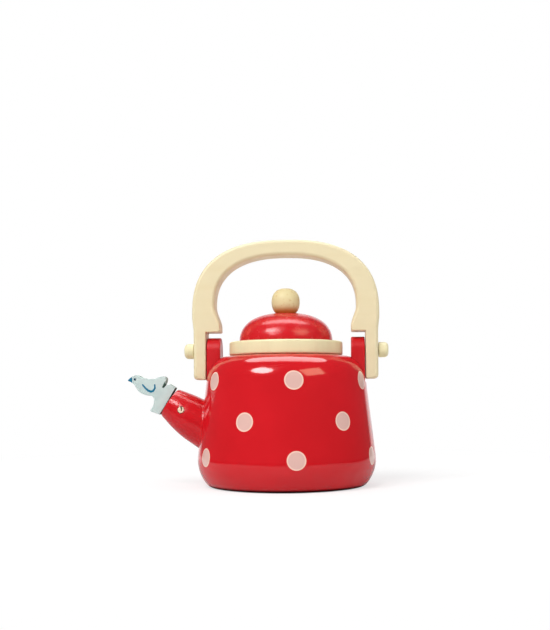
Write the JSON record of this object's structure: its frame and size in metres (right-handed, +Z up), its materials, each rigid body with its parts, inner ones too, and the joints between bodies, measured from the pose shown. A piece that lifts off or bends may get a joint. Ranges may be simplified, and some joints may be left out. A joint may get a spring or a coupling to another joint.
{
  "type": "toy kettle",
  "caption": "Wooden toy kettle with a hollow turned body, swinging bail handle, lift-off domed lid with ball knob, and a straight spout that ends in a small cut-out bird whistle.",
  "frame": {"origin": "middle of the flat round base, on the surface the kettle stands on", "axes": "+Z up along the turned body's axis, spout towards -X, handle pivots along X"},
  "size_m": [0.1792, 0.1216, 0.1672],
  "materials": {
    "red_lacquer": "gloss red lacquer over wood, pale polka dots on the body",
    "cream_paint": "satin cream paint over wood",
    "pale_blue_paint": "satin pale blue paint over wood, small painted details",
    "bare_wood": "bare pale hardwood"
  },
  "bodies": {
    "kettle": {"kettle_body": "red_lacquer", "left_lug": "red_lacquer", "right_lug": "red_lacquer", "left_lug_dowel_front": "bare_wood", "left_lug_dowel_back": "bare_wood", "right_lug_dowel_front": "bare_wood", "right_lug_dowel_back": "bare_wood", "left_pivot_peg": "cream_paint", "right_pivot_peg": "cream_paint", "spout": "red_lacquer", "spout_dowel": "bare_wood", "whistle_pin": "bare_wood"},
    "handle": {"bail_handle": "cream_paint"},
    "lid": {"lid_plug": "bare_wood", "lid_rim": "cream_paint", "lid_dome": "red_lacquer", "lid_knob": "cream_paint", "lid_stem": "bare_wood"},
    "whistle": {"whistle_bird": "pale_blue_paint"}
  },
  "joints": [
    {"name": "handle_swing", "type": "hinge", "parent": "kettle", "child": "handle", "pos_m": [0, 0, 0.0923], "axis": [1, 0, 0], "range_deg": [-75, 75]},
    {"name": "lid_lift", "type": "slide", "parent": "kettle", "child": "lid", "axis": [0, 0, 1], "range_m": [0, 0.02]},
    {"name": "whistle_rock", "type": "hinge", "parent": "kettle", "child": "whistle", "pos_m": [-0.07076, 0, 0.05236], "axis": [0, 1, 0], "range_deg": [0, 6]}
  ]
}
